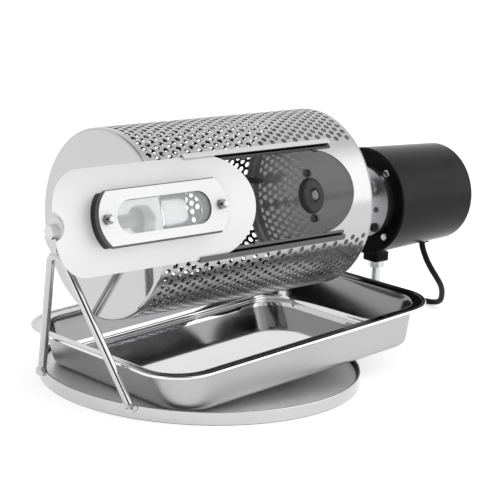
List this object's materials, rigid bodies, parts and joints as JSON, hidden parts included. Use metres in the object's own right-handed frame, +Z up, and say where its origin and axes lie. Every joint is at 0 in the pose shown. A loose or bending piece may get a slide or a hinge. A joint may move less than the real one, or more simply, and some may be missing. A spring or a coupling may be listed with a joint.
{
  "type": "drum coffee roaster",
  "caption": "Tabletop coffee roaster: perforated steel drum with a sliding windowed door, turned by a side motor over a round base and a catch tray.",
  "frame": {"origin": "centre of the round base on its underside", "axes": "+X along the drum axis towards the motor, +Y to the back, +Z up"},
  "size_m": [0.5467, 0.3065, 0.2138],
  "materials": {
    "polished_steel": "polished",
    "satin_steel": "satin",
    "zinc_steel": "satin",
    "grey_metal": "satin",
    "black_paint": "satin",
    "black_plastic": "matte",
    "black_rubber": "matte",
    "clear_glass": "gloss",
    "bronze": "satin",
    "winding": "satin",
    "magnet": "matte"
  },
  "bodies": {
    "frame": {"base_rim": "polished_steel", "base_plate": "satin_steel", "base_bottom_plate": "satin_steel", "left_leg_rod": "polished_steel", "left_bearing_bracket": "polished_steel", "support_arm": "satin_steel", "motor_post": "zinc_steel", "post_nuts": "zinc_steel", "motor_cover": "black_paint", "motor_bracket": "black_paint", "gearmotor_housing": "grey_metal", "gearmotor_front_plate": "grey_metal", "shaft_bushing": "bronze", "face_rivets": "zinc_steel", "face_knob": "black_plastic", "bracket_screws": "zinc_steel", "gearbox_plate": "grey_metal", "gear_pin": "zinc_steel", "stator_coil": "winding", "cord_gland": "black_rubber", "cord_tube": "black_rubber", "cord_tail": "black_rubber", "cord_coil": "black_rubber", "cord_tie": "black_plastic", "plug_body": "black_plastic", "plug_pins": "zinc_steel"},
    "drum": {"drum_shell": "polished_steel", "left_end_cap": "polished_steel", "right_end_plate": "satin_steel", "left_axle": "polished_steel", "axle_collar": "satin_steel", "drive_hub": "satin_steel", "hub_screws": "zinc_steel", "drive_coupling": "black_paint", "output_shaft": "zinc_steel", "output_gear": "grey_metal", "stirring_vane": "satin_steel", "top_rail": "satin_steel", "bottom_rail": "satin_steel"},
    "door": {"door_panel": "polished_steel", "window_frame": "polished_steel", "window_gasket": "black_rubber", "window_glass": "clear_glass", "window_screws": "zinc_steel", "window_nuts": "zinc_steel"},
    "tray": {"tray_pan": "polished_steel"},
    "idler": {"intermediate_gear": "grey_metal"},
    "rotor": {"rotor_shaft": "zinc_steel", "rotor_magnet": "magnet"}
  },
  "joints": [
    {"name": "drum_spin", "type": "hinge", "parent": "frame", "child": "drum", "pos_m": [0, 0, 0.13875], "axis": [-1, 0, 0], "range_deg": [-45, 190]},
    {"name": "door_slide", "type": "slide", "parent": "drum", "child": "door", "axis": [1, 0, 0], "range_m": [0, 0.117]},
    {"name": "tray_tip", "type": "hinge", "parent": "frame", "child": "tray", "pos_m": [0.106, -0.005, 0.0211], "axis": [0, 1, 0], "range_deg": [0, 4]},
    {"name": "gear_spin", "type": "hinge", "parent": "frame", "child": "idler", "pos_m": [0.197, 0.01643, 0.13438], "axis": [-1, 0, 0], "range_deg": [-630, 160]},
    {"name": "rotor_spin", "type": "hinge", "parent": "frame", "child": "rotor", "pos_m": [0.21, 0.006, 0.1258], "axis": [-1, 0, 0], "range_deg": [-430, 1780]}
  ],
  "couplings": [
    {"joint": "gear_spin", "follows": "drum_spin", "ratio": -3.25},
    {"joint": "rotor_spin", "follows": "drum_spin", "ratio": 9.2857}
  ]
}
